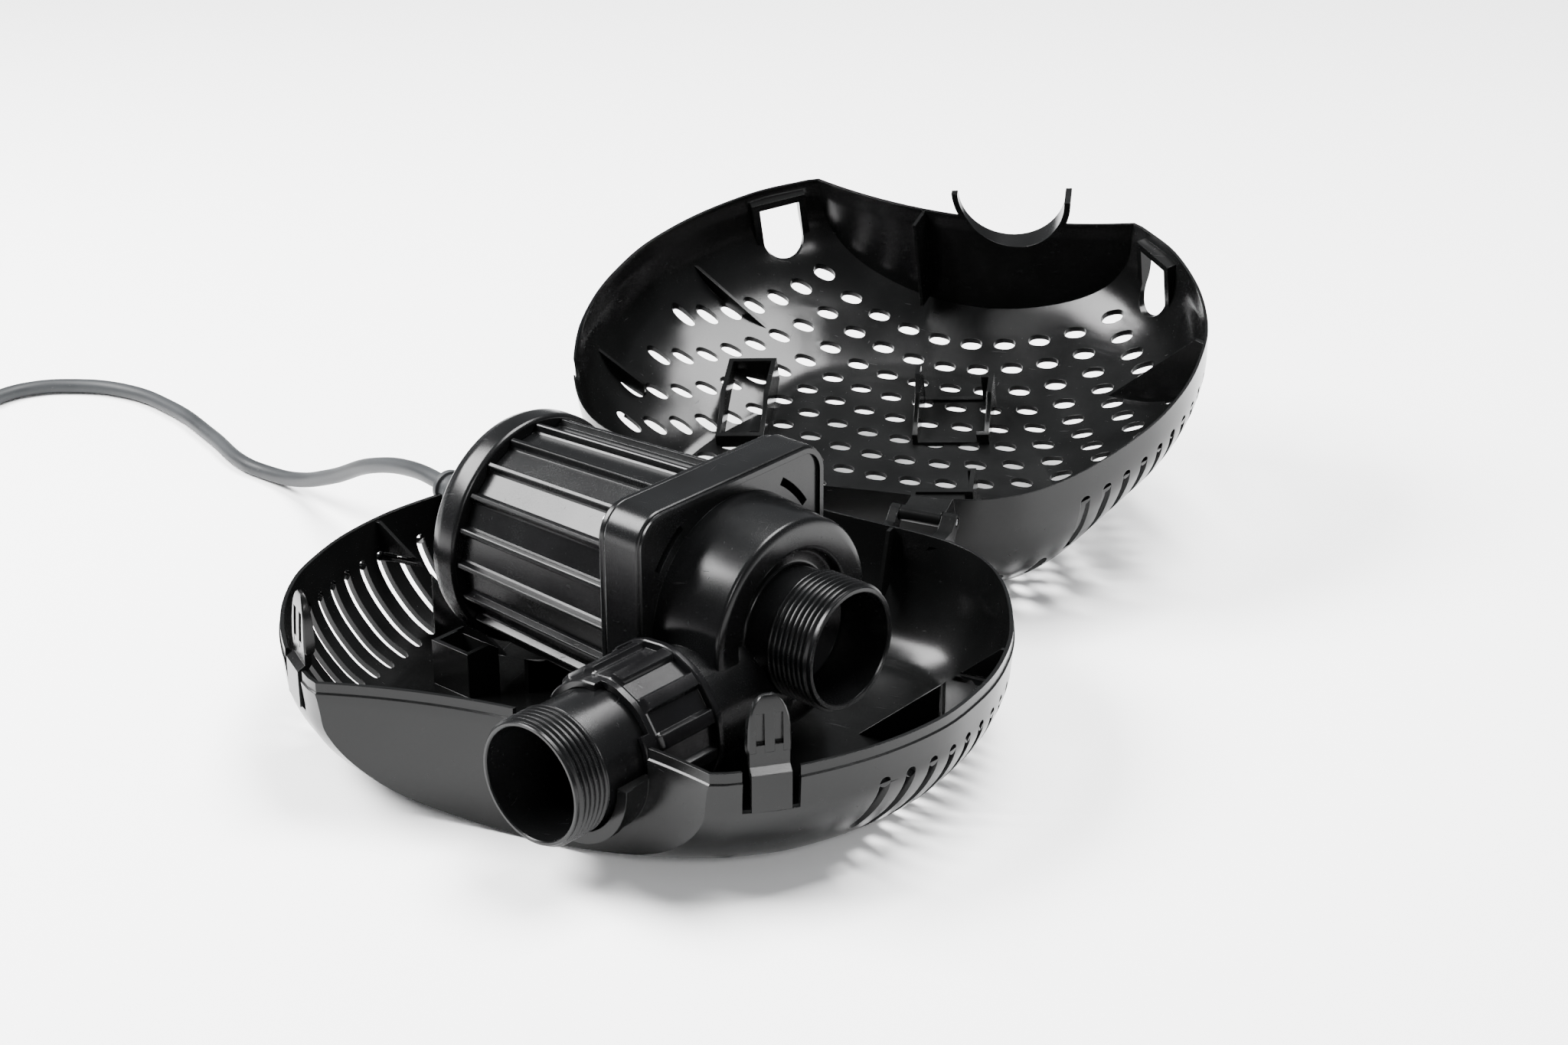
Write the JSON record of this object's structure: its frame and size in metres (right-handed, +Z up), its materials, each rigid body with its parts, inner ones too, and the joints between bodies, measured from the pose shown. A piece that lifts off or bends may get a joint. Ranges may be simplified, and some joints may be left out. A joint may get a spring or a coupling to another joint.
{
  "type": "fountain submersible pump",
  "caption": "Submersible fountain pump with threaded inlet and outlet, clamped in a hinged two-part perforated filter shell shown open, on a long rubber cable with a plug.",
  "frame": {"origin": "on the floor, under the middle of the box round the shell, open lid and pump, without the cable", "axes": "+Z up; X along the lid hinge, +X towards the pump inlet; -Y towards the front wall and the outlet, +Y towards the open lid"},
  "size_m": [0.7545, 0.4545, 0.1233],
  "materials": {
    "shell_plastic": "fine satin grain",
    "pump_plastic": "satin, slightly rough",
    "nut_plastic": "semi-gloss",
    "impeller_plastic": "smooth",
    "cable_rubber": "satin",
    "seal_rubber": "matt",
    "plug_plastic": "satin",
    "tie_plastic": "satin",
    "steel": "bright",
    "stator_steel": "laminated",
    "ceramic": "polished ceramic",
    "ferrite": "ground ferrite",
    "copper": "enamelled copper wire"
  },
  "bodies": {
    "base": {"lower_shell": "shell_plastic", "hinge_pin_left": "steel", "hinge_pin_right": "steel", "volute_housing": "pump_plastic", "motor_flange": "pump_plastic", "motor_housing": "pump_plastic", "rear_cap": "pump_plastic", "flange_screw_1": "steel", "flange_screw_2": "steel", "flange_screw_3": "steel", "flange_screw_4": "steel", "outlet_spigot": "pump_plastic", "outlet_seal": "seal_rubber", "bearing_front": "ceramic", "bearing_rear": "ceramic", "rotor_can": "pump_plastic", "volute_seal": "seal_rubber", "stator_core": "stator_steel", "winding_front": "copper", "winding_rear": "copper", "cable_gland": "cable_rubber", "cable_grommet": "cable_rubber", "cable": "cable_rubber", "cable_coil": "cable_rubber", "coil_tie": "tie_plastic", "cable_tail": "cable_rubber", "plug_relief": "cable_rubber", "plug_body": "plug_plastic", "plug_pin_1": "steel", "plug_pin_2": "steel"},
    "lid": {"lid_shell": "shell_plastic"},
    "latch_left": {"latch_left": "shell_plastic"},
    "latch_right": {"latch_right": "shell_plastic"},
    "rotor": {"rotor_shaft": "ceramic", "rotor_magnet": "ferrite", "impeller": "impeller_plastic"},
    "union_nut": {"union_nut": "nut_plastic"}
  },
  "joints": [
    {"name": "lid_hinge", "type": "hinge", "parent": "base", "child": "lid", "pos_m": [0, 0.0111, 0.0521], "axis": [1, 0, 0], "range_deg": [0, 164.57]},
    {"name": "latch_right_flex", "type": "hinge", "parent": "base", "child": "latch_right", "pos_m": [0.08649, -0.20106, 0.0367], "axis": [-0.7666, -0.6421, 0], "range_deg": [0, 7], "stiffness_Nm_per_rad": 0.6},
    {"name": "latch_left_flex", "type": "hinge", "parent": "base", "child": "latch_left", "pos_m": [-0.08649, -0.20106, 0.0367], "axis": [-0.7666, 0.6421, 0], "range_deg": [0, 7], "stiffness_Nm_per_rad": 0.6},
    {"name": "rotor_spin", "type": "hinge", "parent": "base", "child": "rotor", "pos_m": [0.04883, -0.1072, 0.0588], "axis": [0.9613, -0.2755, 0], "continuous": true},
    {"name": "union_nut_turn", "type": "hinge", "parent": "base", "child": "union_nut", "pos_m": [0.04883, -0.1072, 0.0394], "axis": [-0.2755, -0.9613, 0], "continuous": true}
  ]
}
